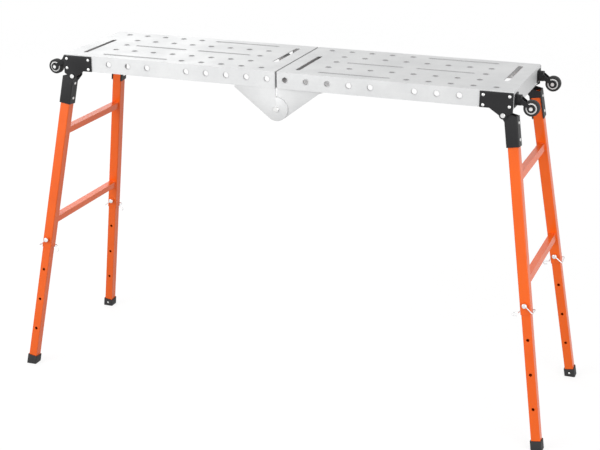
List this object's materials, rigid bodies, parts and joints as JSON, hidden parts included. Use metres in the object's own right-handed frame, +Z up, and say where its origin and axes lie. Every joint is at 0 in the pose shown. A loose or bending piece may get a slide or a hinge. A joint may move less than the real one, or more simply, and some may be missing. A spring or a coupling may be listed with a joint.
{
  "type": "folding welding table",
  "caption": "Folding welding table: a perforated steel top hinged at the middle on two folding orange leg frames with telescoping, pin-locked legs and end casters.",
  "frame": {"origin": "on the floor under the middle of the top", "axes": "+X along the table to the right, +Y from the front to the back, +Z up"},
  "size_m": [1.6584, 0.5412, 0.996],
  "materials": {
    "panel_grey": "satin powder coat",
    "leg_orange": "gloss powder coat",
    "bracket_black": "satin",
    "bright_rivet": "zinc plated",
    "pin_steel": "bright plated",
    "foot_rubber": "matte",
    "tyre_black": "matte",
    "hub_white": "satin",
    "caster_metal": "satin"
  },
  "bodies": {
    "left_half": {"left_panel": "panel_grey", "left_panel_rivets": "bright_rivet", "left_leg_pivot_bolts": "bright_rivet", "left_caster_mounts": "caster_metal", "left_front_bracket": "bracket_black", "left_front_hinge_leaf": "panel_grey", "left_back_bracket": "bracket_black", "left_back_hinge_leaf": "panel_grey", "hinge_pivot_bolts": "bright_rivet"},
    "left_frame": {"left_upper_rung": "leg_orange", "left_lower_rung": "leg_orange", "left_socket_rivets": "bright_rivet", "left_front_leg_socket": "bracket_black", "left_front_leg": "leg_orange", "left_back_leg_socket": "bracket_black", "left_back_leg": "leg_orange"},
    "left_front_lower_leg": {"left_front_lower_leg": "leg_orange", "left_front_foot": "foot_rubber"},
    "left_front_lock_pin": {"left_front_lock_pin": "pin_steel"},
    "left_front_caster": {"left_front_caster_fork": "caster_metal", "left_front_caster_axle": "bright_rivet"},
    "left_front_wheel": {"left_front_wheel_hub": "hub_white", "left_front_wheel_tyre": "tyre_black"},
    "left_back_lower_leg": {"left_back_lower_leg": "leg_orange", "left_back_foot": "foot_rubber"},
    "left_back_lock_pin": {"left_back_lock_pin": "pin_steel"},
    "left_back_caster": {"left_back_caster_fork": "caster_metal", "left_back_caster_axle": "bright_rivet"},
    "left_back_wheel": {"left_back_wheel_hub": "hub_white", "left_back_wheel_tyre": "tyre_black"},
    "right_half": {"right_panel": "panel_grey", "right_panel_rivets": "bright_rivet", "right_leg_pivot_bolts": "bright_rivet", "right_caster_mounts": "caster_metal", "right_front_bracket": "bracket_black", "right_front_hinge_leaf": "panel_grey", "right_back_bracket": "bracket_black", "right_back_hinge_leaf": "panel_grey"},
    "right_frame": {"right_upper_rung": "leg_orange", "right_lower_rung": "leg_orange", "right_socket_rivets": "bright_rivet", "right_front_leg_socket": "bracket_black", "right_front_leg": "leg_orange", "right_back_leg_socket": "bracket_black", "right_back_leg": "leg_orange"},
    "right_front_lower_leg": {"right_front_lower_leg": "leg_orange", "right_front_foot": "foot_rubber"},
    "right_front_lock_pin": {"right_front_lock_pin": "pin_steel"},
    "right_front_caster": {"right_front_caster_fork": "caster_metal", "right_front_caster_axle": "bright_rivet"},
    "right_front_wheel": {"right_front_wheel_hub": "hub_white", "right_front_wheel_tyre": "tyre_black"},
    "right_back_lower_leg": {"right_back_lower_leg": "leg_orange", "right_back_foot": "foot_rubber"},
    "right_back_lock_pin": {"right_back_lock_pin": "pin_steel"},
    "right_back_caster": {"right_back_caster_fork": "caster_metal", "right_back_caster_axle": "bright_rivet"},
    "right_back_wheel": {"right_back_wheel_hub": "hub_white", "right_back_wheel_tyre": "tyre_black"}
  },
  "joints": [
    {"name": "centre_fold", "type": "hinge", "parent": "left_half", "child": "right_half", "pos_m": [0, 0, 0.887], "axis": [0, 1, 0], "range_deg": [0, 75]},
    {"name": "left_frame_fold", "type": "hinge", "parent": "left_half", "child": "left_frame", "pos_m": [-0.654, 0, 0.9305], "axis": [0, -1, 0], "range_deg": [0, 98.6]},
    {"name": "left_front_leg_slide", "type": "slide", "parent": "left_frame", "child": "left_front_lower_leg", "axis": [0.1487, 0.1045, 0.9833], "range_m": [0, 0.3]},
    {"name": "left_front_pin_lock", "type": "slide", "parent": "left_frame", "child": "left_front_lock_pin", "axis": [-0.0156, 0.9945, -0.1034], "range_m": [0, 0.006]},
    {"name": "left_front_caster_swivel", "type": "hinge", "parent": "left_half", "child": "left_front_caster", "pos_m": [-0.68, -0.147, 0.969], "axis": [1, 0, 0], "continuous": true},
    {"name": "left_front_wheel_spin", "type": "hinge", "parent": "left_front_caster", "child": "left_front_wheel", "pos_m": [-0.724, -0.147, 0.9495], "axis": [0, 1, 0], "continuous": true},
    {"name": "left_back_leg_slide", "type": "slide", "parent": "left_frame", "child": "left_back_lower_leg", "axis": [0.1487, -0.1045, 0.9833], "range_m": [0, 0.3]},
    {"name": "left_back_pin_lock", "type": "slide", "parent": "left_frame", "child": "left_back_lock_pin", "axis": [0.0156, 0.9945, 0.1034], "range_m": [0, 0.006]},
    {"name": "left_back_caster_swivel", "type": "hinge", "parent": "left_half", "child": "left_back_caster", "pos_m": [-0.68, 0.147, 0.969], "axis": [1, 0, 0], "continuous": true},
    {"name": "left_back_wheel_spin", "type": "hinge", "parent": "left_back_caster", "child": "left_back_wheel", "pos_m": [-0.724, 0.147, 0.9495], "axis": [0, 1, 0], "continuous": true},
    {"name": "right_frame_fold", "type": "hinge", "parent": "right_half", "child": "right_frame", "pos_m": [0.654, 0, 0.9305], "axis": [0, 1, 0], "range_deg": [0, 98.6]},
    {"name": "right_front_leg_slide", "type": "slide", "parent": "right_frame", "child": "right_front_lower_leg", "axis": [-0.1487, 0.1045, 0.9833], "range_m": [0, 0.3]},
    {"name": "right_front_pin_lock", "type": "slide", "parent": "right_frame", "child": "right_front_lock_pin", "axis": [0.0156, 0.9945, -0.1034], "range_m": [0, 0.006]},
    {"name": "right_front_caster_swivel", "type": "hinge", "parent": "right_half", "child": "right_front_caster", "pos_m": [0.68, -0.147, 0.969], "axis": [1, 0, 0], "continuous": true},
    {"name": "right_front_wheel_spin", "type": "hinge", "parent": "right_front_caster", "child": "right_front_wheel", "pos_m": [0.724, -0.147, 0.9495], "axis": [0, 1, 0], "continuous": true},
    {"name": "right_back_leg_slide", "type": "slide", "parent": "right_frame", "child": "right_back_lower_leg", "axis": [-0.1487, -0.1045, 0.9833], "range_m": [0, 0.3]},
    {"name": "right_back_pin_lock", "type": "slide", "parent": "right_frame", "child": "right_back_lock_pin", "axis": [-0.0156, 0.9945, 0.1034], "range_m": [0, 0.006]},
    {"name": "right_back_caster_swivel", "type": "hinge", "parent": "right_half", "child": "right_back_caster", "pos_m": [0.68, 0.147, 0.969], "axis": [1, 0, 0], "continuous": true},
    {"name": "right_back_wheel_spin", "type": "hinge", "parent": "right_back_caster", "child": "right_back_wheel", "pos_m": [0.724, 0.147, 0.9495], "axis": [0, 1, 0], "continuous": true}
  ],
  "couplings": [
    {"joint": "left_front_leg_slide", "follows": "left_frame_fold", "m_per_rad": 0.17433},
    {"joint": "left_back_leg_slide", "follows": "left_frame_fold", "m_per_rad": 0.17433},
    {"joint": "right_front_leg_slide", "follows": "right_frame_fold", "m_per_rad": 0.17433},
    {"joint": "right_back_leg_slide", "follows": "right_frame_fold", "m_per_rad": 0.17433}
  ]
}
